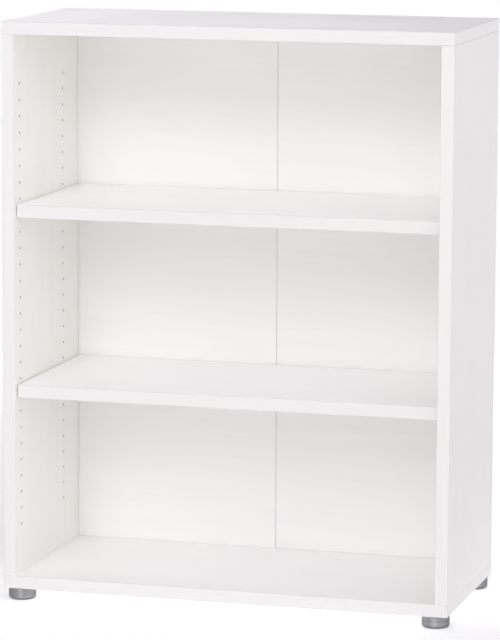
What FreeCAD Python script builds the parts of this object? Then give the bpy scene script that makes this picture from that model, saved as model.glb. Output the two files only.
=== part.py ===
import FreeCAD, Part
import os
import Sketcher
from FreeCAD import Vector, Placement, Rotation

# Open bookcase: a flat-pack carcass of white laminated board on four levelling
# feet, with two adjustable shelves.
#
# Frame: +Z up, the open front faces -Y, the origin is on the floor under the
# middle of the bookcase. Millimetres.
#
# The top and bottom panels cover the ends of the side panels. Cam locks in the
# side panels pull on bolts screwed into the top and bottom panels, beside
# glued dowels. The back is two thin halves that stand in grooves and are
# joined down the middle by a fold tape. Each shelf rests on four angle
# supports plugged into the rows of 5 mm holes.

doc = FreeCAD.newDocument("Bookcase")

# ---------------------------------------------------------------- dimensions

TABLE = [
    # alias, value, what it is
    ("carcass_width", 888, "outside width"),
    ("carcass_depth", 400, "outside depth"),
    ("side_height", 1058, "length of a side panel"),
    ("board", 25, "thickness of every board"),
    ("edging", 2, "thickness of the edging strips"),
    ("edging_round", 1.6, "rounding of the edging's long outer edges"),
    ("foot_height", 24, "floor to the underside of the carcass"),
    ("foot_dia", 53, "outer diameter of a foot pad"),
    ("foot_inset", 28.5, "foot axis from the outer faces"),
    ("foot_round", 6.5, "rounding of the pad's lower rim"),
    ("foot_upper_round", 0.6, "rounding of the pad's upper rim"),
    ("foot_relief", 0.2, "gap from the pad to the bottom panel"),
    ("stem_dia", 9.9, "diameter of the threaded stem"),
    ("stem_bore", 10, "bore that holds the stem"),
    ("stem_start", 6.2, "floor to the stem's lower end"),
    ("stem_end", 45.8, "floor to the stem's upper end"),
    ("insert_dia", 14, "outer diameter of the threaded insert"),
    ("insert_length", 22, "length of the threaded insert"),
    ("insert_rim_dia", 20, "rim of the threaded insert"),
    ("insert_rim", 1.5, "thickness of the insert's rim"),
    ("hole_dia", 5, "shelf hole diameter"),
    ("hole_depth", 12, "shelf hole depth"),
    ("hole_pitch", 32, "shelf hole spacing"),
    ("hole_count", 28, "shelf holes in one column"),
    ("hole_first", 98, "lowest shelf hole from the side panel's lower end"),
    ("column_front", 35, "front hole column from the front face"),
    ("column_back", 294, "back hole column from the front face"),
    ("groove_front", 388.4, "groove for the back from the front face"),
    ("groove_width", 4, "width of the groove"),
    ("groove_depth", 8, "depth of the groove"),
    ("back_board", 3, "thickness of the back"),
    ("back_entry", 7, "how far the back stands in the grooves"),
    ("back_shift", 0.9, "back from the groove's front wall"),
    ("seam", 0.6, "gap between the back halves"),
    ("tape_width", 30, "width of the fold tape"),
    ("tape_board", 0.3, "thickness of the fold tape"),
    ("shelf_setback", 12, "shelf front behind the carcass front"),
    ("shelf_gap", 1.5, "gap at each end of a shelf"),
    ("shelf_run", 375, "shelf depth"),
    ("shelf_drop", 2, "shelf underside below the hole axis"),
    ("upper_step", 19, "hole that carries the upper shelf, from the lowest"),
    ("lower_step", 8, "hole that carries the lower shelf, from the lowest"),
    ("peg_dia", 4.9, "support peg diameter"),
    ("peg_length", 8, "support peg in its hole"),
    ("angle_board", 1.2, "support flange thickness"),
    ("angle_width", 16, "support width"),
    ("angle_rise", 9, "support flange above the hole axis"),
    ("plate_reach", 14, "support plate under the shelf"),
    ("plate_board", 1.5, "support plate thickness"),
    ("cam_end", 34, "cam axis from the side panel's end"),
    ("cam_front", 69, "front cam axis from the front face"),
    ("cam_back", 320, "rear cam axis from the front face"),
    ("cam_bore", 15, "cam bore diameter"),
    ("cam_bore_depth", 17, "cam bore depth"),
    ("cam_dia", 14.8, "cam diameter"),
    ("cam_length", 14.5, "cam length"),
    ("cam_sunk", 1.5, "cam face below the board's face"),
    ("bolt_bore", 7, "bore for the cam bolt in the side panel's end"),
    ("bolt_hole", 5, "screw hole for the cam bolt"),
    ("bolt_hole_depth", 11, "depth of that hole"),
    ("cap_dia", 17, "cover cap diameter"),
    ("cap_board", 0.8, "cover cap thickness"),
    ("cap_plug_dia", 14.4, "cover cap plug diameter"),
    ("cap_plug", 1.2, "cover cap plug length"),
    ("dowel_front", 101, "front dowel axis from the front face"),
    ("dowel_back", 288, "rear dowel axis from the front face"),
    ("dowel_dia", 7.9, "dowel diameter"),
    ("dowel_bore", 8, "dowel hole diameter"),
    ("dowel_in_side", 18, "dowel length in the side panel"),
    ("dowel_in_panel", 12, "dowel length in the top or bottom panel"),
]

sheet = doc.addObject("Spreadsheet::Sheet", "Params")
sheet.Label = "Params"
sheet.set("A1", "what it is")
sheet.set("B1", "mm")
for row, (alias, value, words) in enumerate(TABLE, start=2):
    sheet.set("A%d" % row, words)
    sheet.set("B%d" % row, str(value))
    sheet.setAlias("B%d" % row, alias)
doc.recompute()


class Dim:
    """A length with its value now and the expression that drives it."""

    def __init__(self, value, text):
        self.value = float(value)
        self.text = text

    def __add__(self, other):
        other = dim(other)
        return Dim(self.value + other.value, "(%s + %s)" % (self.text, other.text))

    def __radd__(self, other):
        return dim(other) + self

    def __sub__(self, other):
        other = dim(other)
        return Dim(self.value - other.value, "(%s - %s)" % (self.text, other.text))

    def __rsub__(self, other):
        return dim(other) - self

    def __mul__(self, other):
        other = dim(other)
        return Dim(self.value * other.value, "(%s * %s)" % (self.text, other.text))

    def __rmul__(self, other):
        return dim(other) * self

    def __truediv__(self, other):
        other = dim(other)
        return Dim(self.value / other.value, "(%s / %s)" % (self.text, other.text))

    def __neg__(self):
        return Dim(0, "0") - self


def dim(x):
    if isinstance(x, Dim):
        return x
    return Dim(x, repr(x))


def p(alias):
    """The sheet's cell with this alias."""
    return Dim(float(sheet.get(alias)), "Params." + alias)


W, D, T, E = p("carcass_width"), p("carcass_depth"), p("board"), p("edging")
SIDE_H, FOOT_H = p("side_height"), p("foot_height")
Z_SIDE = FOOT_H + T
Z_TOP = Z_SIDE + SIDE_H
ZERO = Dim(0, "0")

# ---------------------------------------------------------------- helpers


def bind(obj, prop, d):
    obj.setExpression(prop, d.text)


def place(obj, x=ZERO, y=ZERO, z=ZERO, rotation=None):
    """Puts an object at x, y, z, each bound to the sheet."""
    x, y, z = dim(x), dim(y), dim(z)
    obj.Placement = Placement(Vector(x.value, y.value, z.value), rotation or Rotation())
    bind(obj, "Placement.Base.x", x)
    bind(obj, "Placement.Base.y", y)
    bind(obj, "Placement.Base.z", z)
    return obj


def new_body(label):
    body = doc.addObject("PartDesign::Body", label)
    body.Label = label
    return body


def plane(body, role):
    for feature in body.Origin.OriginFeatures:
        if feature.Role == role:
            return feature
    raise RuntimeError("no plane " + role)


def new_sketch(body, name, role, offset=ZERO):
    """A sketch on one of the body's origin planes, moved along its normal."""
    s = body.newObject("Sketcher::SketchObject", name)
    s.AttachmentSupport = [(plane(body, role), "")]
    s.MapMode = "FlatFace"
    offset = dim(offset)
    s.AttachmentOffset = Placement(Vector(0, 0, offset.value), Rotation())
    s.setExpression("AttachmentOffset.Base.z", offset.text)
    return s


def name_dim(s, index, name, d):
    s.renameConstraint(index, name)
    s.setExpression("Constraints." + name, d.text)


def pin_point(s, geo, pos, x, y, tag):
    """Ties a point of a sketch to x, y from the sketch's origin."""
    if x.value == 0:
        s.addConstraint(Sketcher.Constraint("PointOnObject", geo, pos, -2))
    else:
        i = s.addConstraint(Sketcher.Constraint("DistanceX", -1, 1, geo, pos, x.value))
        name_dim(s, i, tag + "_x", x)
    if y.value == 0:
        s.addConstraint(Sketcher.Constraint("PointOnObject", geo, pos, -1))
    else:
        i = s.addConstraint(Sketcher.Constraint("DistanceY", -1, 1, geo, pos, y.value))
        name_dim(s, i, tag + "_y", y)


def add_rect(s, x, y, w, h, tag="rect"):
    """A rectangle with its lower left corner at x, y."""
    x, y, w, h = dim(x), dim(y), dim(w), dim(h)
    a, b = x.value, y.value
    c, d = a + w.value, b + h.value
    pts = [Vector(a, b, 0), Vector(c, b, 0), Vector(c, d, 0), Vector(a, d, 0)]
    g = [s.addGeometry(Part.LineSegment(pts[i], pts[(i + 1) % 4]), False) for i in range(4)]
    for i in range(4):
        s.addConstraint(Sketcher.Constraint("Coincident", g[i], 2, g[(i + 1) % 4], 1))
    s.addConstraint(Sketcher.Constraint("Horizontal", g[0]))
    s.addConstraint(Sketcher.Constraint("Vertical", g[1]))
    s.addConstraint(Sketcher.Constraint("Horizontal", g[2]))
    s.addConstraint(Sketcher.Constraint("Vertical", g[3]))
    i = s.addConstraint(Sketcher.Constraint("DistanceX", g[0], 1, g[0], 2, w.value))
    name_dim(s, i, tag + "_w", w)
    i = s.addConstraint(Sketcher.Constraint("DistanceY", g[1], 1, g[1], 2, h.value))
    name_dim(s, i, tag + "_h", h)
    pin_point(s, g[0], 1, x, y, tag)


def add_circle(s, x, y, dia, tag):
    x, y, dia = dim(x), dim(y), dim(dia)
    g = s.addGeometry(Part.Circle(Vector(x.value, y.value, 0), Vector(0, 0, 1), dia.value / 2), False)
    i = s.addConstraint(Sketcher.Constraint("Diameter", g, dia.value))
    name_dim(s, i, tag + "_d", dia)
    pin_point(s, g, 3, x, y, tag)


def pad(body, s, length, name, reverse=False):
    f = body.newObject("PartDesign::Pad", name)
    f.Profile = s
    f.Length = length.value
    bind(f, "Length", length)
    f.Reversed = reverse
    body.Tip = f
    return f


def pocket(body, s, depth, name, reverse=False):
    """Cuts a sketch into the solid, against the sketch's normal unless reversed."""
    f = body.newObject("PartDesign::Pocket", name)
    f.Profile = s
    f.Length = depth.value
    bind(f, "Length", depth)
    f.Reversed = reverse
    body.Tip = f
    return f


def revolve(body, s, name):
    f = body.newObject("PartDesign::Revolution", name)
    f.Profile = s
    f.ReferenceAxis = (s, ["V_Axis"])
    f.Angle = 360.0
    body.Tip = f
    return f


def outline(s, points):
    """A closed outline of straight lines through (r, z) points tied to the sheet."""
    n = len(points)
    xy = [(dim(q[0]), dim(q[1])) for q in points]
    g = []
    for i in range(n):
        a, b = xy[i], xy[(i + 1) % n]
        g.append(
            s.addGeometry(
                Part.LineSegment(
                    Vector(a[0].value, a[1].value, 0), Vector(b[0].value, b[1].value, 0)
                ),
                False,
            )
        )
    for i in range(n):
        s.addConstraint(Sketcher.Constraint("Coincident", g[i], 2, g[(i + 1) % n], 1))
    for i in range(n):
        pin_point(s, g[i], 1, xy[i][0], xy[i][1], "pt%d" % i)


def box(name, lx, ly, lz, x=ZERO, y=ZERO, z=ZERO):
    b = doc.addObject("Part::Box", name)
    lx, ly, lz = dim(lx), dim(ly), dim(lz)
    b.Length, b.Width, b.Height = lx.value, ly.value, lz.value
    bind(b, "Length", lx)
    bind(b, "Width", ly)
    bind(b, "Height", lz)
    return place(b, x, y, z)


ALONG_X = Rotation(Vector(0, 1, 0), 90)


def cylinder(name, dia, length, x=ZERO, y=ZERO, z=ZERO, rotation=None):
    c = doc.addObject("Part::Cylinder", name)
    radius, length = dim(dia) / 2, dim(length)
    c.Radius, c.Height = radius.value, length.value
    bind(c, "Radius", radius)
    bind(c, "Height", length)
    return place(c, x, y, z, rotation)


def cut(name, base, tool):
    c = doc.addObject("Part::Cut", name)
    c.Base, c.Tool = base, tool
    return c


def fuse(name, shapes):
    f = doc.addObject("Part::MultiFuse", name)
    f.Shapes = shapes
    f.Refine = True
    return f


def group(label, members):
    """One node of separate solids."""
    c = doc.addObject("Part::Compound", label)
    c.Label = label
    c.Links = members
    return c


def copy_at(name, master, x, y, z, rotation=None):
    """The master piece, set at another place."""
    c = doc.addObject("Part::Compound", name)
    c.Links = [master]
    return place(c, x, y, z, rotation)


def rounded(name, base, wanted, radius):
    """Rounds the straight edges of a piece that the test picks."""
    doc.recompute()
    f = doc.addObject("Part::Fillet", name)
    f.Base = base
    picked = []
    for i, e in enumerate(base.Shape.Edges, start=1):
        a, b = e.Vertexes[0].Point, e.Vertexes[-1].Point
        if wanted(a, b):
            picked.append((i, radius.value, radius.value))
    f.Edges = picked
    return f


NODES = []  # every sub-part, in the order it is made


def node(obj):
    NODES.append(obj)
    return obj


# ---------------------------------------------------------------- top and bottom panels

# The core lies inside its edging. Local origin: the core's lower front left
# corner. "up" is the side that faces the middle of the bookcase.


def panel(label, z, inner_is_up):
    body = new_body(label)
    core_w, core_d = W - 2 * E, D - 2 * E
    s = new_sketch(body, label + "_outline", "XY_Plane")
    add_rect(s, ZERO, ZERO, core_w, core_d)
    pad(body, s, T, label + "_board")

    face = T if inner_is_up else ZERO  # the face towards the middle
    flip = not inner_is_up  # a pocket cuts down from the upper face, or up from the lower

    s = new_sketch(body, label + "_groove_line", "XY_Plane", face)
    gx = T - p("groove_depth") - E
    add_rect(s, gx, p("groove_front") - E, W - 2 * (T - p("groove_depth")), p("groove_width"))
    pocket(body, s, p("groove_depth"), label + "_groove", flip)

    x_left, x_right = T / 2 - E, W - E - T / 2
    s = new_sketch(body, label + "_bolt_marks", "XY_Plane", face)
    n = 0
    for x in (x_left, x_right):
        for y in (p("cam_front") - E, p("cam_back") - E):
            add_circle(s, x, y, p("bolt_hole"), "bolt%d" % n)
            n += 1
    pocket(body, s, p("bolt_hole_depth"), label + "_bolt_holes", flip)

    s = new_sketch(body, label + "_dowel_marks", "XY_Plane", face)
    n = 0
    for x in (x_left, x_right):
        for y in (p("dowel_front") - E, p("dowel_back") - E):
            add_circle(s, x, y, p("dowel_bore"), "dowel%d" % n)
            n += 1
    pocket(body, s, p("dowel_in_panel") + 0.5, label + "_dowel_holes", flip)

    if inner_is_up:
        # the four threaded inserts stand in stepped holes from below
        for tag, dia, depth in (
            ("sleeve", p("insert_dia"), p("insert_length") + 0.5),
            ("rim", p("insert_rim_dia"), p("insert_rim")),
        ):
            s = new_sketch(body, label + "_" + tag + "_marks", "XY_Plane")
            n = 0
            for x in (p("foot_inset") - E, W - p("foot_inset") - E):
                for y in (p("foot_inset") - E, D - p("foot_inset") - E):
                    add_circle(s, x, y, dia, "%s%d" % (tag, n))
                    n += 1
            pocket(body, s, depth, label + "_" + tag + "_holes", True)

    place(body, E - W / 2, E - D / 2, z)
    return node(body)


def strips(label, w, d, x, y, z):
    """Edging on all four edges of a lying board: long strips in front and behind,
    short ones between them. They are cut from the board's outline, whose twelve
    edges are all rounded."""
    whole = box(label + "_envelope", w, d, T, x, y, z)
    soft = rounded(label + "_soft", whole, lambda a, b: True, p("edging_round"))
    zones = (
        ("front", box(label + "_front_zone", w, E, T, x, y, z)),
        ("rear", box(label + "_rear_zone", w, E, T, x, y + d - E, z)),
        ("left", box(label + "_left_zone", E, d - 2 * E, T, x, y + E, z)),
        ("right", box(label + "_right_zone", E, d - 2 * E, T, x + w - E, y + E, z)),
    )
    for tag, zone in zones:
        strip = doc.addObject("Part::Common", label + "_" + tag)
        strip.Label = label + "_" + tag
        strip.Base, strip.Tool = soft, zone
        node(strip)


panel("bottom_panel", FOOT_H, True)
strips("bottom_panel_edging", W, D, -W / 2, -D / 2, FOOT_H)
panel("top_panel", Z_TOP, False)
strips("top_panel_edging", W, D, -W / 2, -D / 2, Z_TOP)

# ---------------------------------------------------------------- side panels

# Local origin: the core's lower front corner at its left face. The two are
# mirror images: the inner face is the right one on the left panel.


def side(label, x, inner_right):
    body = new_body(label)
    s = new_sketch(body, label + "_outline", "XY_Plane")
    add_rect(s, ZERO, ZERO, T, D - 2 * E)
    pad(body, s, SIDE_H, label + "_board")

    face = T if inner_right else ZERO
    flip = not inner_right  # a pocket on the YZ plane cuts towards -X unless reversed

    # two columns of shelf holes
    s = new_sketch(body, label + "_hole_marks", "YZ_Plane", face)
    add_circle(s, p("column_front") - E, p("hole_first"), p("hole_dia"), "front")
    add_circle(s, p("column_back") - E, p("hole_first"), p("hole_dia"), "back")
    first = pocket(body, s, p("hole_depth"), label + "_first_holes", flip)
    doc.recompute()
    rows = body.newObject("PartDesign::LinearPattern", label + "_hole_columns")
    rows.Originals = [first]
    rows.Direction = (s, ["V_Axis"])
    length = (p("hole_count") - 1) * p("hole_pitch")
    rows.Length = length.value
    bind(rows, "Length", length)
    rows.Occurrences = int(p("hole_count").value)
    rows.setExpression("Occurrences", "Params.hole_count")
    body.Tip = rows

    # groove for the back
    s = new_sketch(body, label + "_groove_line", "YZ_Plane", face)
    add_rect(s, p("groove_front") - E, ZERO, p("groove_width"), SIDE_H)
    pocket(body, s, p("groove_depth"), label + "_groove", flip)

    # cam bores near both ends
    s = new_sketch(body, label + "_cam_marks", "YZ_Plane", face)
    n = 0
    for y in (p("cam_front") - E, p("cam_back") - E):
        for z in (p("cam_end"), SIDE_H - p("cam_end")):
            add_circle(s, y, z, p("cam_bore"), "cam%d" % n)
            n += 1
    pocket(body, s, p("cam_bore_depth"), label + "_cam_bores", flip)

    # bolt and dowel bores in both ends
    for end, z, up in (("lower", ZERO, True), ("upper", SIDE_H, False)):
        s = new_sketch(body, label + "_%s_bolt_marks" % end, "XY_Plane", z)
        for n, y in enumerate((p("cam_front") - E, p("cam_back") - E)):
            add_circle(s, T / 2, y, p("bolt_bore"), "bolt%d" % n)
        pocket(body, s, p("cam_end"), label + "_%s_bolt_bores" % end, up)
        s = new_sketch(body, label + "_%s_dowel_marks" % end, "XY_Plane", z)
        for n, y in enumerate((p("dowel_front") - E, p("dowel_back") - E)):
            add_circle(s, T / 2, y, p("dowel_bore"), "dowel%d" % n)
        pocket(body, s, p("dowel_in_side") + 0.5, label + "_%s_dowel_bores" % end, up)

    place(body, x, E - D / 2, Z_SIDE)
    return node(body)


def side_strips(label, x):
    """Edging on the front and rear edges of a side panel, rounded along its two
    outer edges."""
    for tag, y, y_outer in (("front", -D / 2, -D / 2), ("rear", D / 2 - E, D / 2)):
        blank = box(label + "_" + tag + "_blank", T, E, SIDE_H, x, y, Z_SIDE)

        def long_outer(a, b, at=y_outer.value):
            return abs(a.y - at) < 1e-6 and abs(b.y - at) < 1e-6 and abs(a.z - b.z) > 100

        strip = rounded(label + "_" + tag, blank, long_outer, p("edging_round"))
        strip.Label = label + "_" + tag
        node(strip)


side("side_panel_left", -W / 2, True)
side_strips("side_left_edging", -W / 2)
side("side_panel_right", W / 2 - T, False)
side_strips("side_right_edging", W / 2 - T)

# ---------------------------------------------------------------- back

BACK_Y = p("groove_front") + p("back_shift") - D / 2


def back_half(label, x, width):
    body = new_body(label)
    s = new_sketch(body, label + "_outline", "XY_Plane")
    add_rect(s, ZERO, ZERO, width, p("back_board"))
    pad(body, s, SIDE_H + 2 * p("back_entry"), label + "_board")
    place(body, x, BACK_Y, Z_SIDE - p("back_entry"))
    return node(body)


HALF = W / 2 - T + p("back_entry") - p("seam") / 2
back_half("back_panel_left", T - p("back_entry") - W / 2, HALF)
back_half("back_panel_right", p("seam") / 2, HALF)

tape = box(
    "back_fold_tape",
    p("tape_width"),
    p("tape_board"),
    SIDE_H,
    -p("tape_width") / 2,
    BACK_Y + p("back_board"),
    Z_SIDE,
)
tape.Label = "back_fold_tape"
node(tape)

# ---------------------------------------------------------------- shelves

SHELF_W = W - 2 * T - 2 * p("shelf_gap")
SHELF_X = T + p("shelf_gap") - W / 2
SHELF_Y = p("shelf_setback") - D / 2


def hole_z(step):
    return Z_SIDE + p("hole_first") + step * p("hole_pitch")


def shelf(label, step):
    z = hole_z(step) - p("shelf_drop")
    body = new_body(label)
    s = new_sketch(body, label + "_outline", "XY_Plane")
    add_rect(s, ZERO, ZERO, SHELF_W - 2 * E, p("shelf_run") - 2 * E)
    pad(body, s, T, label + "_board")
    place(body, SHELF_X + E, SHELF_Y + E, z)
    node(body)
    strips(label + "_edging", SHELF_W, p("shelf_run"), SHELF_X, SHELF_Y, z)


shelf("shelf_upper", p("upper_step"))
shelf("shelf_lower", p("lower_step"))

# ---------------------------------------------------------------- shelf supports

# Master at the hole's mouth, +X into the compartment: a peg in the hole, a thin
# flange between the board and the shelf's end, and a plate under the shelf.

PLATE_Z = -p("shelf_drop") - p("plate_board")
support = fuse(
    "support_master",
    [
        cylinder(
            "support_peg", p("peg_dia"), p("peg_length") + p("angle_board"),
            -p("peg_length"), ZERO, ZERO, ALONG_X,
        ),
        box(
            "support_flange", p("angle_board"), p("angle_width"),
            p("angle_rise") - PLATE_Z, ZERO, -p("angle_width") / 2, PLATE_Z,
        ),
        box(
            "support_plate", p("plate_reach"), p("angle_width"), p("plate_board"),
            ZERO, -p("angle_width") / 2, PLATE_Z,
        ),
    ],
)
HALF_TURN = Rotation(Vector(0, 0, 1), 180)
for label, step in (
    ("upper_shelf_supports", p("upper_step")),
    ("lower_shelf_supports", p("lower_step")),
):
    members = []
    for tag, x, turn in (("left", T - W / 2, None), ("right", W / 2 - T, HALF_TURN)):
        for where, y in (("front", p("column_front")), ("back", p("column_back"))):
            members.append(
                copy_at("%s_%s_%s" % (label, tag, where), support, x, y - D / 2, hole_z(step), turn)
            )
    node(group(label, members))

# ---------------------------------------------------------------- cam fittings and dowels

# Masters at the cam's axis on the board's inner face: +X into the compartment,
# +Z towards the joint with the top or bottom panel.

cam_round = cylinder(
    "cam_round", p("cam_dia"), p("cam_length"), -p("cam_sunk") - p("cam_length"), ZERO, ZERO, ALONG_X
)
cam_mouth = cylinder("cam_mouth", 7.6, 12, -T / 2, ZERO, -4)
cam_cross_a = box("cam_cross_a", 2, 7, 1.6, -p("cam_sunk") - 2, -3.5, -0.8)
cam_cross_b = box("cam_cross_b", 2, 1.6, 7, -p("cam_sunk") - 2, -0.8, -3.5)
cam_master = cut("cam_master", cam_round, fuse("cam_cuts", [cam_mouth, cam_cross_a, cam_cross_b]))

bolt_master = fuse(
    "bolt_master",
    [
        cylinder("bolt_head", 7, 3, -T / 2, ZERO, -3.5),
        cylinder("bolt_neck", 4.5, 5, -T / 2, ZERO, -0.6),
        cylinder("bolt_shank", 6, p("cam_end") - 4, -T / 2, ZERO, 4),
        cylinder("bolt_screw", 4.9, 10.6, -T / 2, ZERO, p("cam_end") - 0.1),
    ],
)

cap_disc = cylinder("cap_disc", p("cap_dia"), p("cap_board"), ZERO, ZERO, ZERO, ALONG_X)
doc.recompute()
cap_soft = doc.addObject("Part::Fillet", "cap_soft")
cap_soft.Base = cap_disc
cap_soft.Edges = [
    (i, 0.5, 0.5)
    for i, e in enumerate(cap_disc.Shape.Edges, start=1)
    if e.Closed and abs(e.CenterOfMass.x - p("cap_board").value) < 1e-6 and e.Length > 50
]
cap_plug = cylinder(
    "cap_plug_round", p("cap_plug_dia"), p("cap_plug") + 0.2, -p("cap_plug"), ZERO, ZERO, ALONG_X
)
cap_master = fuse("cap_master", [cap_soft, cap_plug])

# The dowel's ends are chamfered; its master starts at the joint, +Z into the
# top or bottom panel.
dowel_round = cylinder(
    "dowel_round", p("dowel_dia"), p("dowel_in_side") + p("dowel_in_panel"),
    -T / 2, ZERO, -p("dowel_in_side"),
)
doc.recompute()
dowel_master = doc.addObject("Part::Chamfer", "dowel_master")
dowel_master.Base = dowel_round
dowel_master.Edges = [
    (i, 1.0, 1.0) for i, e in enumerate(dowel_round.Shape.Edges, start=1) if e.Closed and e.Length > 20
]

# left side: as made; right side: turned half round; lower end: turned over
corners = []
for side_tag, x, right in (("left", T - W / 2, False), ("right", W / 2 - T, True)):
    for end_tag, lower in (("upper", False), ("lower", True)):
        turn = Rotation()
        if right:
            turn = HALF_TURN
        if lower:
            turn = Rotation(Vector(1, 0, 0), 180).multiply(turn) if not right else Rotation(
                Vector(0, 1, 0), 180
            )
        corners.append((side_tag, end_tag, x, lower, turn))

sets = {"cam_locks": [], "cam_bolts": [], "cam_cover_caps": [], "dowels": []}
for side_tag, end_tag, x, lower, turn in corners:
    z_cam = Z_SIDE + p("cam_end") if lower else Z_TOP - p("cam_end")
    z_joint = Z_SIDE if lower else Z_TOP
    for row_tag, y in (("front", p("cam_front")), ("back", p("cam_back"))):
        spot = "%s_%s_%s" % (side_tag, end_tag, row_tag)
        for label, master in (
            ("cam_locks", cam_master),
            ("cam_bolts", bolt_master),
            ("cam_cover_caps", cap_master),
        ):
            sets[label].append(copy_at(label + "_" + spot, master, x, y - D / 2, z_cam, turn))
    for row_tag, y in (("front", p("dowel_front")), ("back", p("dowel_back"))):
        spot = "%s_%s_%s" % (side_tag, end_tag, row_tag)
        sets["dowels"].append(copy_at("dowels_" + spot, dowel_master, x, y - D / 2, z_joint, turn))
for label in ("cam_locks", "cam_bolts", "cam_cover_caps", "dowels"):
    node(group(label, sets[label]))

# ---------------------------------------------------------------- feet

FEET = []
for end_tag, y in (("front", p("foot_inset") - D / 2), ("rear", D / 2 - p("foot_inset"))):
    for side_tag, x in (("left", p("foot_inset") - W / 2), ("right", W / 2 - p("foot_inset"))):
        FEET.append((end_tag + "_" + side_tag, x, y))

# threaded insert: a sleeve with a rim, from the panel's underside up
sleeve = fuse(
    "insert_outside",
    [
        cylinder("insert_sleeve", p("insert_dia"), p("insert_length")),
        cylinder("insert_rim_disc", p("insert_rim_dia"), p("insert_rim")),
    ],
)
insert_master = cut(
    "insert_master", sleeve, cylinder("insert_bore", p("stem_bore"), p("insert_length") + 2, ZERO, ZERO, -1)
)
node(
    group(
        "foot_inserts",
        [copy_at("foot_insert_" + tag, insert_master, x, y, FOOT_H) for tag, x, y in FEET],
    )
)


def foot_stem(tag, x, y):
    """Threaded stem, turned from bar, with chamfered ends."""
    body = new_body("foot_stem_" + tag)
    s = new_sketch(body, "foot_stem_profile_" + tag, "XZ_Plane")
    r, a, b = p("stem_dia") / 2, p("stem_start"), p("stem_end")
    outline(
        s,
        [(ZERO, a), (r - 0.8, a), (r, a + 0.8), (r, b - 1.2), (r - 1.2, b), (ZERO, b)],
    )
    revolve(body, s, "foot_stem_bar_" + tag)
    place(body, x, y)
    return node(body)


def foot_pad(tag, x, y):
    """Moulded pad with a blind bore for the stem and a rounded lower rim."""
    body = new_body("foot_pad_" + tag)
    s = new_sketch(body, "foot_pad_profile_" + tag, "XZ_Plane")
    r, top, bore = p("foot_dia") / 2, FOOT_H - p("foot_relief"), p("stem_bore") / 2
    floor = p("stem_start") - 0.2
    outline(
        s,
        [
            (ZERO, ZERO), (r, ZERO), (r, top), (bore, top), (bore, floor), (ZERO, floor),
        ],
    )
    turned = revolve(body, s, "foot_pad_turned_" + tag)
    doc.recompute()
    radius = p("foot_round")
    for name, z_edge, rr in (
        ("foot_pad_lower_round_" + tag, 0.0, radius),
        ("foot_pad_upper_round_" + tag, top.value, p("foot_upper_round")),
    ):
        base = body.Tip
        found = [
            "Edge%d" % i
            for i, e in enumerate(base.Shape.Edges, start=1)
            if e.Closed
            and abs(e.BoundBox.ZMin - z_edge) < 1e-4
            and abs(e.BoundBox.ZMax - z_edge) < 1e-4
            and abs(e.BoundBox.XLength - p("foot_dia").value) < 0.01
        ]
        f = body.newObject("PartDesign::Fillet", name)
        f.Base = (base, found)
        f.Radius = rr.value
        bind(f, "Radius", rr)
        body.Tip = f
        doc.recompute()
    place(body, x, y)
    return node(body)


for tag, x, y in FEET:
    foot_stem(tag, x, y)
for tag, x, y in FEET:
    foot_pad(tag, x, y)

# ---------------------------------------------------------------- check and write

doc.recompute()

bad = []
for obj in doc.Objects:
    state = list(getattr(obj, "State", []))
    if "Invalid" in state or "Error" in state:
        bad.append("%s is %s" % (obj.Name, state))
for obj in doc.Objects:
    if obj.isDerivedFrom("Sketcher::SketchObject") and obj.solve() != 0:
        bad.append("%s doesn't solve" % obj.Name)
for obj in doc.Objects:
    # every cut takes something away
    if obj.TypeId in ("PartDesign::Pocket", "PartDesign::LinearPattern"):
        before = obj.BaseFeature.Shape.Volume if obj.BaseFeature else None
        if before is not None and obj.Shape.Volume > before - 1.0:
            bad.append("%s cuts nothing" % obj.Name)
for obj in NODES:
    if obj.Shape.isNull() or not obj.Shape.isValid() or not obj.Shape.Solids:
        bad.append("%s has no valid solid" % obj.Label)
if bad:
    raise RuntimeError("; ".join(bad))

os.makedirs("parts", exist_ok=True)
for obj in NODES:
    obj.Shape.exportStep("parts/%s.step" % obj.Label)
    b = obj.Shape.BoundBox
    print(
        "%-24s %2d solid(s) %12.1f mm3  x %.2f..%.2f  y %.2f..%.2f  z %.2f..%.2f"
        % (obj.Label, len(obj.Shape.Solids), obj.Shape.Volume, b.XMin, b.XMax, b.YMin, b.YMax, b.ZMin, b.ZMax)
    )
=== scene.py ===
"""Looks for the open bookcase: white laminated board, plastic edging, zinc
fittings and silver-grey feet, in a plain white studio. Metres, +Z up, the open
front faces -Y."""
import math

import bpy
from mathutils import Matrix, Vector


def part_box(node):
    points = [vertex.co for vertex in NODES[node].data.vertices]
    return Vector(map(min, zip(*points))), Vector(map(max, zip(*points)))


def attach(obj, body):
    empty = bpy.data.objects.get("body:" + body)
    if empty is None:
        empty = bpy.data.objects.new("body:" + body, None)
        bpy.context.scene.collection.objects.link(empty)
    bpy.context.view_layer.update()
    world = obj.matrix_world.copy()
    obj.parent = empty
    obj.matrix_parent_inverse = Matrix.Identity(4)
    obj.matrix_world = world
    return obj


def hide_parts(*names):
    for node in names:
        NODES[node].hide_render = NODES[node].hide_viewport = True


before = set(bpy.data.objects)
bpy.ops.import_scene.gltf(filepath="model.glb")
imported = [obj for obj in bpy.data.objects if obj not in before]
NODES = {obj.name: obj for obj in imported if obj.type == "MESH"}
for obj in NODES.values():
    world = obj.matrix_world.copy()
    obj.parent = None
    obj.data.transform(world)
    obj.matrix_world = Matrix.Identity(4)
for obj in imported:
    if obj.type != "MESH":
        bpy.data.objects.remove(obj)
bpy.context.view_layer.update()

# ------------------------------------------------------------------ camera
# A long lens, a little to the right of the bookcase and looking slightly down.
# The picture is 500 x 640, and its long side is the sensor's width.

F_PX = 3632.1
YAW, PITCH, ROLL = (math.radians(a) for a in (15.717, 8.868, 0.257))
EYE = Vector((1.8984, -6.7544, 1.6397))

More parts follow.
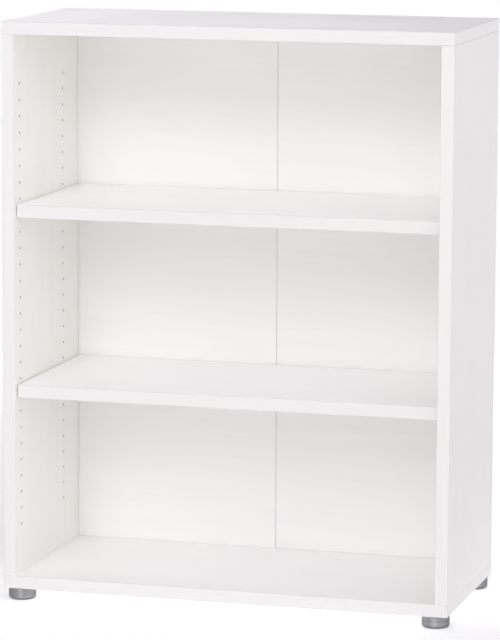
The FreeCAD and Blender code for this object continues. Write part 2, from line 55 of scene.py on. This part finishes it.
forward = Vector(
    (-math.sin(YAW) * math.cos(PITCH), math.cos(YAW) * math.cos(PITCH), -math.sin(PITCH))
)
right = Vector((math.cos(YAW), math.sin(YAW), 0.0))
up = right.cross(forward)
right, up = (
    math.cos(ROLL) * right + math.sin(ROLL) * up,
    -math.sin(ROLL) * right + math.cos(ROLL) * up,
)
cam_data = bpy.data.cameras.new("camera")
cam_data.sensor_width = 36.0
cam_data.lens = F_PX * 36.0 / 640.0
cam_data.clip_start, cam_data.clip_end = 0.1, 100.0
cam = bpy.data.objects.new("camera", cam_data)
bpy.context.scene.collection.objects.link(cam)
turn = Matrix((right, up, -forward)).transposed()
cam.matrix_world = Matrix.Translation(EYE) @ turn.to_4x4()
bpy.context.scene.camera = cam

# ------------------------------------------------------------------ node helper


class Mat:
    """A material and short names for the nodes that it is made of."""

    def __init__(self, name, **constants):
        self.m = bpy.data.materials.new(name)
        self.m.use_nodes = True
        self.t = self.m.node_tree
        self.t.nodes.clear()
        self.out = self.t.nodes.new("ShaderNodeOutputMaterial")
        self.bsdf = self.t.nodes.new("ShaderNodeBsdfPrincipled")
        self.t.links.new(self.bsdf.outputs[0], self.out.inputs[0])
        for key, value in constants.items():
            self.bsdf.inputs[key.replace("_", " ")].default_value = value
        self._coords = None

    def link(self, a, b):
        self.t.links.new(a, b)

    def feed(self, socket, value):
        if value is None:
            return
        if isinstance(value, bpy.types.NodeSocket):
            self.link(value, socket)
        else:
            socket.default_value = value

    def coords(self):
        """The row frame's own coordinates, in metres."""
        if self._coords is None:
            self._coords = self.t.nodes.new("ShaderNodeTexCoord").outputs["Object"]
        return self._coords

    def scaled(self, scale, offset=(0, 0, 0), vector=None):
        n = self.t.nodes.new("ShaderNodeMapping")
        n.inputs["Scale"].default_value = scale
        n.inputs["Location"].default_value = offset
        self.link(vector or self.coords(), n.inputs["Vector"])
        return n.outputs[0]

    def noise(self, vector, scale=1.0, detail=2.0, rough=0.5, distort=0.0):
        n = self.t.nodes.new("ShaderNodeTexNoise")
        n.inputs["Scale"].default_value = scale
        n.inputs["Detail"].default_value = detail
        n.inputs["Roughness"].default_value = rough
        n.inputs["Distortion"].default_value = distort
        self.link(vector, n.inputs["Vector"])
        return n.outputs["Fac"]

    def voronoi(self, vector, scale=1.0, feature="F1", randomness=1.0, out="Distance"):
        n = self.t.nodes.new("ShaderNodeTexVoronoi")
        n.feature = feature
        n.inputs["Scale"].default_value = scale
        n.inputs["Randomness"].default_value = randomness
        self.link(vector, n.inputs["Vector"])
        return n.outputs[out]

    def span(self, value, a, b, c, d, smooth=False):
        """Carries a..b over to c..d, clamped."""
        n = self.t.nodes.new("ShaderNodeMapRange")
        n.clamp = True
        if smooth:
            n.interpolation_type = "SMOOTHSTEP"
        for key, v in (("From Min", a), ("From Max", b), ("To Min", c), ("To Max", d)):
            self.feed(n.inputs[key], v)
        self.feed(n.inputs["Value"], value)
        return n.outputs[0]

    def math(self, op, a, b=None, c=None, clamp=False):
        n = self.t.nodes.new("ShaderNodeMath")
        n.operation = op
        n.use_clamp = clamp
        for i, v in enumerate((a, b, c)):
            self.feed(n.inputs[i], v)
        return n.outputs[0]

    def mix(self, fac, a, b, kind="MIX"):
        n = self.t.nodes.new("ShaderNodeMix")
        n.data_type = "RGBA"
        n.blend_type = kind
        n.clamp_factor = True
        self.feed(n.inputs[0], fac)
        self.feed(n.inputs[6], a if isinstance(a, bpy.types.NodeSocket) else (*a, 1.0))
        self.feed(n.inputs[7], b if isinstance(b, bpy.types.NodeSocket) else (*b, 1.0))
        return n.outputs[2]

    def blend(self, fac, a, b):
        n = self.t.nodes.new("ShaderNodeMix")
        n.data_type = "FLOAT"
        n.clamp_factor = True
        self.feed(n.inputs[0], fac)
        self.feed(n.inputs[2], a)
        self.feed(n.inputs[3], b)
        return n.outputs[0]

    def axes(self):
        n = self.t.nodes.new("ShaderNodeSeparateXYZ")
        self.link(self.coords(), n.inputs[0])
        return n.outputs[0], n.outputs[1], n.outputs[2]

    def bump(self, height, distance, strength=1.0, normal=None):
        n = self.t.nodes.new("ShaderNodeBump")
        n.inputs["Strength"].default_value = strength
        n.inputs["Distance"].default_value = distance
        self.link(height, n.inputs["Height"])
        if normal is not None:
            self.link(normal, n.inputs["Normal"])
        return n.outputs[0]

    def finish(self, color=None, rough=None, normal=None):
        if color is not None:
            self.feed(self.bsdf.inputs["Base Color"], color)
        if rough is not None:
            self.feed(self.bsdf.inputs["Roughness"], rough)
        if normal is not None:
            self.link(normal, self.bsdf.inputs["Normal"])
        return self.m


def stretch(grain, along, across):
    """Texture scale for streaks along one axis."""
    return tuple(along if axis == grain else across for axis in "xyz")


def tint(color, k):
    return tuple(min(1.0, c * k) for c in color)


# ------------------------------------------------------------------ board


def grain(m, axis, seed, figure=1.0):
    """Height of a printed and embossed wood grain along one axis, 0 to 1, and its
    parts: broad figure, streaks and pores."""
    broad = m.noise(m.scaled(stretch(axis, 0.9, 9.0), (seed, seed * 2, 0)), 1.0, 3.0, 0.55, 1.3)
    streak = m.noise(m.scaled(stretch(axis, 3.0, 150.0), (0, seed, seed * 3)), 1.0, 4.0, 0.62, 0.25)
    fine = m.noise(m.scaled(stretch(axis, 14.0, 900.0), (seed * 3, 0, seed)), 1.0, 2.0, 0.5)
    pores = m.span(m.noise(m.scaled(stretch(axis, 130.0, 2600.0), (seed, seed, 1)), 1.0, 1.0, 0.4), 0.60, 0.74, 0.0, 1.0)
    return broad, streak, fine, pores


def chip_core(m):
    """Raw particle board: colour, roughness and height."""
    cells = m.voronoi(m.scaled((520.0, 520.0, 900.0)), 1.0, "F1", 1.0, "Color")
    n = m.t.nodes.new("ShaderNodeSeparateColor")
    m.link(cells, n.inputs[0])
    shade = n.outputs[0]
    dark = m.noise(m.scaled((300.0, 300.0, 300.0)), 1.0, 3.0)
    color = m.mix(shade, (0.20, 0.145, 0.09), (0.46, 0.35, 0.23))
    color = m.mix(m.span(dark, 0.35, 0.7, 0.0, 0.6), color, (0.12, 0.085, 0.055))
    return color, 0.92, m.math("ADD", shade, dark)


def laminate(name, axis, seed, base, inside=None, figure=1.0, rough=0.36, deep=1.0):
    """White laminate with a faint wood grain along one axis. inside is a list of
    (coordinate axis, low, high): where the board has been cut through its face,
    the raw core shows between those."""
    m = Mat(name, IOR=1.5, Specular_IOR_Level=0.5)
    broad, streak, fine, pores = grain(m, axis, seed)
    warm, cool = tint(base, 0.985), tint((base[0] * 0.995, base[1] * 0.999, base[2] * 1.006), 1.004)
    color = m.mix(m.span(broad, 0.32, 0.68, 0.0, 1.0, True), warm, cool)
    color = m.mix(m.span(streak, 0.40, 0.70, 0.0, 0.55 * figure), color, tint(base, 0.965))
    color = m.mix(m.span(streak, 0.36, 0.22, 0.0, 0.5 * figure), color, tint(base, 1.015))
    color = m.mix(m.math("MULTIPLY", pores, 0.25 * figure), color, tint(base, 0.93))
    # a film of handling marks changes the sheen more than the colour
    marks = m.noise(m.scaled((7.0, 7.0, 7.0), (seed, 3, 5)), 1.0, 5.0, 0.62, 0.6)
    scuffs = m.span(m.noise(m.scaled((90.0, 34.0, 60.0), (1, seed, 2)), 1.0, 3.0, 0.5, 2.5), 0.66, 0.76, 0.0, 1.0)
    r = m.math("ADD", m.span(marks, 0.3, 0.7, rough - 0.035, rough + 0.05), m.math("MULTIPLY", scuffs, 0.05))
    r = m.math("ADD", r, m.math("MULTIPLY", pores, 0.08))
    height = m.math("ADD", m.math("MULTIPLY", streak, 0.5), m.math("MULTIPLY", fine, 0.35))
    height = m.math("SUBTRACT", height, m.math("MULTIPLY", pores, 0.55))
    if inside:
        inner = None
        x, y, z = m.axes()
        at = {"x": x, "y": y, "z": z, "ax": m.math("ABSOLUTE", x)}
        for key, low, high in inside:
            a = m.math("GREATER_THAN", at[key], low)
            b = m.math("LESS_THAN", at[key], high)
            both = m.math("MULTIPLY", a, b)
            inner = both if inner is None else m.math("MULTIPLY", inner, both)
        raw, raw_rough, raw_height = chip_core(m)
        color = m.mix(inner, color, raw)
        r = m.blend(inner, r, raw_rough)
        height = m.blend(inner, height, m.math("MULTIPLY", raw_height, 3.0))
    normal = m.bump(height, 0.00009 * deep, 0.55)
    return m.finish(color, r, normal)


# One laminate white in several copies. The top, the shelves and the bottom are made lighter: painted light on the
# faces that look up. The right side is made darker: painted shade. The left side is partly the board's own white and
# partly warmed towards the yellowish tint of the shade on its inner face.
TOP_WHITE_PAINTED_LIGHT = (0.968, 0.962, 0.952)
SHELF_WHITE_PAINTED_LIGHT = (0.950, 0.950, 0.943)
SIDE_WHITE_SHADE_WARMED = (0.942, 0.930, 0.888)
RIGHT_WHITE_PAINTED_SHADE = (0.912, 0.904, 0.874)
# front edging: the edging white darkened, painted shade against the strong light on the front edges
FRONT_EDGE_PAINTED_SHADE = (0.785, 0.778, 0.767)
EDGE_PALE = (0.925, 0.918, 0.904)
BACK_WHITE = (0.922, 0.916, 0.906)


def edging(name, axis, seed, base):
    """Plastic edging: the same print as the board, a little glossier, with fine
    draw lines along its length."""
    m = Mat(name, IOR=1.5, Specular_IOR_Level=0.3)
    broad, streak, fine, pores = grain(m, axis, seed)
    color = m.mix(m.span(broad, 0.3, 0.7, 0.0, 1.0, True), tint(base, 0.985), tint(base, 1.006))
    color = m.mix(m.span(streak, 0.42, 0.70, 0.0, 0.55), color, tint(base, 0.965))
    color = m.mix(m.math("MULTIPLY", pores, 0.2), color, tint(base, 0.94))
    marks = m.noise(m.scaled(stretch(axis, 5.0, 60.0), (2, seed, 4)), 1.0, 4.0, 0.6, 0.4)
    r = m.span(marks, 0.3, 0.7, 0.30, 0.39)
    height = m.math("ADD", m.math("MULTIPLY", streak, 0.5), m.math("MULTIPLY", fine, 0.25))
    return m.finish(color, r, m.bump(height, 0.00004, 0.4))


def back_board(name, seed):
    """Lacquered fibreboard: a printed grain lying across the back, smooth and a
    little flatter in sheen than the boards, brown where its edge shows."""
    m = Mat(name, IOR=1.48, Specular_IOR_Level=0.4)
    broad, streak, fine, pores = grain(m, "x", seed)
    color = m.mix(m.span(broad, 0.32, 0.68, 0.0, 1.0, True), tint(BACK_WHITE, 0.982), tint(BACK_WHITE, 1.006))
    color = m.mix(m.span(streak, 0.40, 0.68, 0.0, 0.42), color, tint(BACK_WHITE, 0.96))
    marks = m.noise(m.scaled((5.0, 5.0, 5.0), (seed, 1, 5)), 1.0, 4.0, 0.6, 0.5)
    r = m.span(marks, 0.3, 0.7, 0.42, 0.52)
    x, y, z = m.axes()
    # all behind the lacquer is raw fibreboard, the rear face too
    core = m.math("GREATER_THAN", y, 0.18945)
    fibre = m.noise(m.scaled((420.0, 420.0, 420.0)), 1.0, 5.0, 0.7, 1.5)
    mesh = m.noise(m.scaled((60.0, 60.0, 60.0), (4, 1, 2)), 1.0, 4.0, 0.65, 1.0)
    brown = m.mix(m.span(fibre, 0.3, 0.7, 0.0, 1.0), (0.235, 0.150, 0.088), (0.36, 0.245, 0.15))
    brown = m.mix(m.span(mesh, 0.35, 0.7, 0.0, 0.45), brown, (0.20, 0.125, 0.072))
    color = m.mix(core, color, brown)
    r = m.blend(core, r, 0.78)
    height = m.blend(core, m.math("MULTIPLY", streak, 0.3), m.math("MULTIPLY", fibre, 2.0))
    return m.finish(color, r, m.bump(height, 0.00008, 0.5))


# ------------------------------------------------------------------ small parts


def zinc(name, seed, bright=0.62, rough=0.36, axis="z"):
    """Zinc plated steel: faint spangle, drawn lines and a slight yellow-blue cast."""
    m = Mat(name, Metallic=1.0)
    cells = m.voronoi(m.scaled((900.0, 900.0, 900.0), (seed, 0, 0)), 1.0, "F1", 1.0, "Color")
    n = m.t.nodes.new("ShaderNodeSeparateColor")
    m.link(cells, n.inputs[0])
    patch = m.noise(m.scaled((160.0, 160.0, 160.0), (0, seed, 0)), 1.0, 4.0, 0.6, 0.8)
    lines = m.noise(m.scaled(stretch(axis, 60.0, 2600.0), (0, 0, seed)), 1.0, 3.0, 0.6)
    base = (bright, bright * 0.995, bright * 0.975)
    color = m.mix(m.math("MULTIPLY", n.outputs[0], 0.5), tint(base, 0.93), tint(base, 1.06))
    color = m.mix(m.span(patch, 0.45, 0.75, 0.0, 0.5), color, (bright * 0.86, bright * 0.88, bright * 0.92))
    r = m.math("ADD", m.span(patch, 0.3, 0.7, rough - 0.05, rough + 0.10), m.math("MULTIPLY", lines, 0.06))
    return m.finish(color, r, m.bump(lines, 0.00004, 0.4))


def plastic_cap():
    """Moulded white cap: satin, a shallow texture, a faint mottle in tone."""
    m = Mat("cap_plastic", IOR=1.5, Specular_IOR_Level=0.5)
    base = (0.925, 0.918, 0.896)
    tone = m.noise(m.scaled((120.0, 120.0, 120.0)), 1.0, 3.0, 0.5)
    grit = m.noise(m.scaled((2600.0, 2600.0, 2600.0)), 1.0, 2.0, 0.5)
    color = m.mix(tone, tint(base, 0.985), tint(base, 1.01))
    return m.finish(color, m.span(tone, 0.3, 0.7, 0.36, 0.44), m.bump(grit, 0.00003, 0.35))


def tape():
    """Matt white fabric-backed tape: a close cross weave."""
    m = Mat("fold_tape", IOR=1.45, Specular_IOR_Level=0.3)
    x, y, z = m.axes()
    warp = m.math("SINE", m.math("MULTIPLY", x, 5200.0))
    weft = m.math("SINE", m.math("MULTIPLY", z, 4300.0))
    weave = m.math("MULTIPLY", warp, weft)
    tone = m.noise(m.scaled((60.0, 60.0, 14.0)), 1.0, 4.0, 0.6)
    color = m.mix(m.span(tone, 0.3, 0.7, 0.0, 1.0), (0.72, 0.71, 0.68), (0.80, 0.79, 0.765))
    color = m.mix(m.span(weave, -1.0, 1.0, 0.12, 0.0), color, (0.55, 0.54, 0.52))
    return m.finish(color, m.span(tone, 0.3, 0.7, 0.55, 0.7), m.bump(weave, 0.00004, 0.5))


def beech():
    """Plain turned beech with short dark flecks along the dowel."""
    m = Mat("beech", IOR=1.45, Specular_IOR_Level=0.35)
    streak = m.noise(m.scaled((700.0, 700.0, 24.0)), 1.0, 4.0, 0.6, 0.3)
    fleck = m.span(m.noise(m.scaled((1500.0, 1500.0, 160.0), (3, 1, 2)), 1.0, 1.0, 0.4), 0.62, 0.72, 0.0, 1.0)
    color = m.mix(m.span(streak, 0.3, 0.7, 0.0, 1.0), (0.50, 0.33, 0.19), (0.66, 0.47, 0.30))
    color = m.mix(m.math("MULTIPLY", fleck, 0.6), color, (0.30, 0.17, 0.09))
    return m.finish(color, m.span(streak, 0.3, 0.7, 0.55, 0.7), m.bump(streak, 0.0001, 0.5))


def foot_plastic(name, centre):
    """Silver-grey metallic pad: fine turned lines round it that draw the highlight
    out upwards, flake in the colour, a rougher, darker band at the lower rim whose
    darkness is painted contact shade broken up by a noise, and a band of painted
    shade at the top where the pad meets the board."""
    m = Mat(name, Metallic=0.9, IOR=1.5, Anisotropic=0.72, Anisotropic_Rotation=0.25, Specular_Tint=(0.30, 0.30, 0.31, 1.0))
    round_axis = m.t.nodes.new("ShaderNodeTangent")
    round_axis.direction_type, round_axis.axis = "RADIAL", "Z"
    m.link(round_axis.outputs[0], m.bsdf.inputs["Tangent"])
    x, y, z = m.axes()
    rings = m.noise(m.scaled((18.0, 18.0, 1500.0), centre), 1.0, 3.0, 0.55)
    bands = m.noise(m.scaled((14.0, 14.0, 330.0), (centre[1], 2, 3 + centre[0])), 1.0, 3.0, 0.55, 0.3)
    flake = m.voronoi(m.scaled((2600.0, 2600.0, 2600.0)), 1.0, "F1", 1.0, "Color")
    n = m.t.nodes.new("ShaderNodeSeparateColor")
    m.link(flake, n.inputs[0])
    base = (0.424, 0.430, 0.442)
    color = m.mix(n.outputs[0], tint(base, 0.90), tint(base, 1.10))
    color = m.mix(m.span(bands, 0.42, 0.62, 0.0, 0.55, True), color, tint(base, 0.66))
    # this noise bumps the surface and breaks up the painted shade bands below
    scuff_and_shade = m.noise(m.scaled((170.0, 170.0, 340.0), centre), 1.0, 4.0, 0.6, 0.6)
    # painted shade: the lower rim darkened where the contact shadow at the floor falls
    low = m.math("MULTIPLY", m.span(z, 0.0060, 0.0016, 0.0, 1.0, True), m.span(scuff_and_shade, 0.3, 0.6, 0.4, 1.0))
    color = m.mix(m.math("MULTIPLY", low, 0.62), color, (0.085, 0.085, 0.090))
    # painted shade: a dark band at the top of the pad, under the board
    high = m.math("MULTIPLY", m.span(z, 0.0222, 0.0236, 0.0, 1.0, True), m.span(scuff_and_shade, 0.3, 0.6, 0.5, 1.0))
    color = m.mix(m.math("MULTIPLY", high, 0.45), color, (0.12, 0.12, 0.125))
    r = m.math("ADD", m.span(rings, 0.3, 0.7, 0.50, 0.60), m.math("MULTIPLY", low, 0.12))
    height = m.math("ADD", rings, m.math("MULTIPLY", scuff_and_shade, 0.3))
    return m.finish(color, r, m.bump(height, 0.00005, 0.5))


# ------------------------------------------------------------------ materials onto the CAD nodes


def dress(node, material):
    mesh = NODES[node].data
    if not mesh.materials:
        mesh.materials.append(material)
    for i in range(len(mesh.materials)):
        mesh.materials[i] = material


SKIN = 0.00025  # thickness of the laminate

lay = {}
# the top, the shelves and the bottom take lighter whites: painted light on their upper faces
for node in ("top_panel", "bottom_panel", "shelf_upper", "shelf_lower"):
    low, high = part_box(node)
    lay[node] = laminate(
        node + "_laminate", "x", {"top_panel": 1.7, "bottom_panel": 4.1, "shelf_upper": 7.3, "shelf_lower": 9.9}[node],
        TOP_WHITE_PAINTED_LIGHT if node == "top_panel" else SHELF_WHITE_PAINTED_LIGHT, [("z", low.z + SKIN, high.z - SKIN)],
        rough=0.312 if node == "top_panel" else 0.36,
    )
    dress(node, lay[node])
# the left side's white is warmed towards the tint of its shade; the right side's white is darker, painted shade
for node, seed, base in (("side_panel_left", 12.3, SIDE_WHITE_SHADE_WARMED), ("side_panel_right", 15.1, RIGHT_WHITE_PAINTED_SHADE)):
    low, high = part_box(node)
    inner, outer = sorted((abs(low.x), abs(high.x)))
    # the ends are sealed white as far in as the edging's rounding leaves them bare
    dress(node, laminate(node + "_laminate", "z", seed, base, [("ax", inner + SKIN, outer - 0.0018)]))
for node, seed in (("back_panel_left", 21.0), ("back_panel_right", 24.5)):
    dress(node, back_board(node + "_lacquer", seed))
STRIP_DARKENING = {
    "top_panel_edging_front": 0.979,
    "shelf_upper_edging_front": 0.982,
    "top_panel_edging_right": 0.972,
    "bottom_panel_edging_right": 0.962,
}
for node in NODES:
    if "_edging_" in node:
        axis = "z" if node.startswith("side_") else "x" if node.endswith(("_front", "_rear")) else "y"
        # front strips take the darker painted-shade white, the others the edging's own white
        base = FRONT_EDGE_PAINTED_SHADE if node.endswith("_front") else EDGE_PALE
        # these strips are made a little darker than the rest, by the listed factors
        base = tint(base, STRIP_DARKENING.get(node, 1.0))
        dress(node, edging(node + "_abs", axis, 30.0 + 1.7 * (sum(map(ord, node)) % 23), base))
dress("back_fold_tape", tape())
dress("upper_shelf_supports", zinc("support_zinc_upper", 3.0, axis="y"))
dress("lower_shelf_supports", zinc("support_zinc_lower", 8.0, axis="y"))
dress("cam_locks", zinc("cam_zinc", 5.0, 0.52, 0.42))
dress("cam_bolts", zinc("bolt_zinc", 6.0, 0.60, 0.36))
dress("foot_inserts", zinc("insert_zinc", 7.0, 0.60, 0.36))
dress("cam_cover_caps", plastic_cap())
dress("dowels", beech())

FEET = ("front_left", "front_right", "rear_left", "rear_right")
for i, tag in enumerate(FEET):
    low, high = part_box("foot_pad_" + tag)
    dress("foot_pad_" + tag, foot_plastic("foot_plastic_" + tag, (i * 1.3, i * 2.1, i * 0.7)))

# ------------------------------------------------------------------ threaded stems


def threaded_stem(name, x, y, z0, z1, r, pitch=0.0015, depth=0.00092, sides=48, per_turn=12):
    """A bar with a real right-hand thread, chamfered ends and closed caps."""
    steps = int(round((z1 - z0) / pitch * per_turn))
    verts, faces = [], []
    for j in range(steps + 1):
        z = z0 + (z1 - z0) * j / steps
        for i in range(sides):
            a = 2 * math.pi * i / sides
            phase = ((z - z0) / pitch - a / (2 * math.pi)) % 1.0
            # flat crest, straight flanks, flat root
            wave = max(0.0, min(1.0, (abs(phase - 0.5) - 0.09) / 0.33))
            rr = r - depth * (1.0 - wave)
            end = min((z - z0) / 0.0008, (z1 - z) / 0.0012, 1.0)
            rr = min(rr, r - 0.0012 * (1.0 - end))
            verts.append((x + rr * math.cos(a), y + rr * math.sin(a), z))
    for j in range(steps):
        for i in range(sides):
            k = (i + 1) % sides
            faces.append((j * sides + i, j * sides + k, (j + 1) * sides + k, (j + 1) * sides + i))
    faces.append(tuple(reversed(range(sides))))
    faces.append(tuple(steps * sides + i for i in range(sides)))
    mesh = bpy.data.meshes.new(name)
    mesh.from_pydata(verts, [], faces)
    mesh.update()
    for p in mesh.polygons:
        p.use_smooth = len(p.vertices) == 4
    obj = bpy.data.objects.new(name, mesh)
    bpy.context.scene.collection.objects.link(obj)
    return obj


for tag in FEET:
    low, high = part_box("foot_stem_" + tag)
    stem = threaded_stem(
        "stem_thread_" + tag, (low.x + high.x) / 2, (low.y + high.y) / 2, low.z, high.z, (high.x - low.x) / 2
    )
    stem.data.materials.append(zinc("stem_zinc_" + tag, 9.0, 0.60, 0.35))
    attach(stem, "foot_%s_stem" % tag)
    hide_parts("foot_stem_" + tag)

# ------------------------------------------------------------------ floor
# White paper that glows, though it is no lamp: painted light, stronger towards the
# distance and in a patch behind the bookcase where its shadow falls, so that it stays
# white under a soft light. Under the bookcase the glow is cut out: a painted shadow.

FLOOR_NEAR, FLOOR_FAR, FLOOR_BEHIND = 0.317, 0.48, 0.34
BEHIND = (0.15, 1.45, 1.65, 0.50, math.radians(11.8))  # centre, half axes, turn

floor_mesh = bpy.data.meshes.new("floor")
floor_mesh.from_pydata([(-30, -30, 0), (30, -30, 0), (30, 30, 0), (-30, 30, 0)], [], [(0, 1, 2, 3)])
floor = bpy.data.objects.new("floor", floor_mesh)
bpy.context.scene.collection.objects.link(floor)
fm = Mat("floor_paper", IOR=1.45, Specular_IOR_Level=0.2)
cloud = fm.noise(fm.scaled((1.2, 1.2, 1.2)), 1.0, 3.0, 0.5)
fibre = fm.noise(fm.scaled((900.0, 900.0, 900.0)), 1.0, 2.0, 0.5)
reach = fm.t.nodes.new("ShaderNodeVectorMath")
reach.operation = "LENGTH"
fm.link(fm.coords(), reach.inputs[0])
fm.bsdf.inputs["Emission Color"].default_value = (1.0, 1.0, 1.0, 1.0)
glow = fm.span(reach.outputs["Value"], 1.2, 3.0, FLOOR_NEAR, FLOOR_FAR, True)
fx, fy, fz = fm.axes()
cx, cy, half_long, half_wide, turned = BEHIND
fx, fy = fm.math("SUBTRACT", fx, cx), fm.math("SUBTRACT", fy, cy)
along = fm.math("ADD", fm.math("MULTIPLY", fx, -math.sin(turned) / half_long), fm.math("MULTIPLY", fy, math.cos(turned) / half_long))
across = fm.math("ADD", fm.math("MULTIPLY", fx, math.cos(turned) / half_wide), fm.math("MULTIPLY", fy, math.sin(turned) / half_wide))
off = fm.math("SQRT", fm.math("ADD", fm.math("MULTIPLY", along, along), fm.math("MULTIPLY", across, across)))
# painted light: extra glow in the patch behind the bookcase, where its shadow falls
glow = fm.math("ADD", glow, fm.span(off, 1.0, 0.6, 0.0, FLOOR_BEHIND, True))
fx, fy, fz = fm.axes()
# painted shadow: the glow is cut out under the bookcase
open_floor = fm.span(fm.math("ABSOLUTE", fx), 0.35, 0.42, 0.0, 1.0, True)
open_floor = fm.math("MAXIMUM", open_floor, fm.span(fy, -0.03, -0.095, 0.0, 1.0, True))
open_floor = fm.math("MAXIMUM", open_floor, fm.span(fy, 0.14, 0.20, 0.0, 1.0, True))
fm.link(fm.math("MULTIPLY", glow, open_floor), fm.bsdf.inputs["Emission Strength"])
fm.finish(fm.mix(cloud, (0.90, 0.90, 0.905), (0.915, 0.915, 0.92)), 0.8, fm.bump(fibre, 0.00005, 0.3))
floor_mesh.materials.append(fm.m)

# ------------------------------------------------------------------ studio
# Soft patches of light all round, far away: (degrees from the front towards the
# right, degrees up, tightness, strength). A white band lies along the horizon.

PATCHES = (
    (0, 14, 60, 0.91),
    (0, 28, 60, 6.16),
    (0, 35, 18, 1.80),
    (0, 70, 18, 0.77),
    (28, 22, 14, 0.20),
    (-45, 15, 30, 0.37),
    (60, 15, 60, 2.80),
    (70, 45, 24, 2.33),
    (-145, 18, 14, 2.30),
    (145, 18, 14, 0.41),
)
BAND = 1.0
TINT = (1.010, 0.986, 1.020)

world = bpy.data.worlds.new("studio")
bpy.context.scene.world = world
world.use_nodes = True
wt = world.node_tree
wt.nodes.clear()


def wmath(op, a, b, smooth=None):
    n = wt.nodes.new("ShaderNodeMath")
    n.operation = op
    for i, v in enumerate((a, b)):
        if isinstance(v, bpy.types.NodeSocket):
            wt.links.new(v, n.inputs[i])
        else:
            n.inputs[i].default_value = v
    return n.outputs[0]


way = wt.nodes.new("ShaderNodeTexCoord").outputs["Generated"]
height = wt.nodes.new("ShaderNodeSeparateXYZ")
wt.links.new(way, height.inputs[0])
band = wt.nodes.new("ShaderNodeMapRange")
band.clamp = True
band.interpolation_type = "SMOOTHSTEP"
wt.links.new(wmath("ABSOLUTE", height.outputs[2], 0.0), band.inputs["Value"])
for key, v in (("From Min", 0.07), ("From Max", 0.166), ("To Min", BAND), ("To Max", 0.0)):
    band.inputs[key].default_value = v
light = band.outputs[0]
for az, el, tight, strength in PATCHES:
    az, el = math.radians(az), math.radians(el)
    dot = wt.nodes.new("ShaderNodeVectorMath")
    dot.operation = "DOT_PRODUCT"
    wt.links.new(way, dot.inputs[0])
    dot.inputs[1].default_value = (math.sin(az) * math.cos(el), -math.cos(az) * math.cos(el), math.sin(el))
    patch = wmath("POWER", wmath("MAXIMUM", dot.outputs["Value"], 0.0), tight)
    light = wmath("ADD", light, wmath("MULTIPLY", patch, strength))
sky = wt.nodes.new("ShaderNodeBackground")
sky.inputs[0].default_value = (*TINT, 1.0)
wt.links.new(light, sky.inputs[1])
sky_out = wt.nodes.new("ShaderNodeOutputWorld")
wt.links.new(sky.outputs[0], sky_out.inputs[0])

# name: (place, aimed at, width, height, watts)
LIGHTS = {
    "front_high": ((0.2, -2.4, 2.6), (0.0, 0.0, 0.5), 2.2, 1.2, 9.9),
}
for name, (place, aim, w, h, watts) in LIGHTS.items():
    data = bpy.data.lights.new(name, "AREA")
    data.shape = "RECTANGLE"
    data.size, data.size_y = w, h
    data.energy = watts
    data.color = tint(TINT, 0.98)
    lamp = bpy.data.objects.new(name, data)
    bpy.context.scene.collection.objects.link(lamp)
    lamp.location = place
    lamp.rotation_euler = (Vector(aim) - Vector(place)).to_track_quat("-Z", "Y").to_euler()
    lamp.visible_camera = False

scene = bpy.context.scene
scene.view_settings.view_transform = "Standard"
scene.view_settings.look = "None"
scene.view_settings.exposure = 0.0
scene.view_settings.gamma = 1.0
scene.cycles.max_bounces = 14
scene.cycles.diffuse_bounces = 8
scene.cycles.glossy_bounces = 6
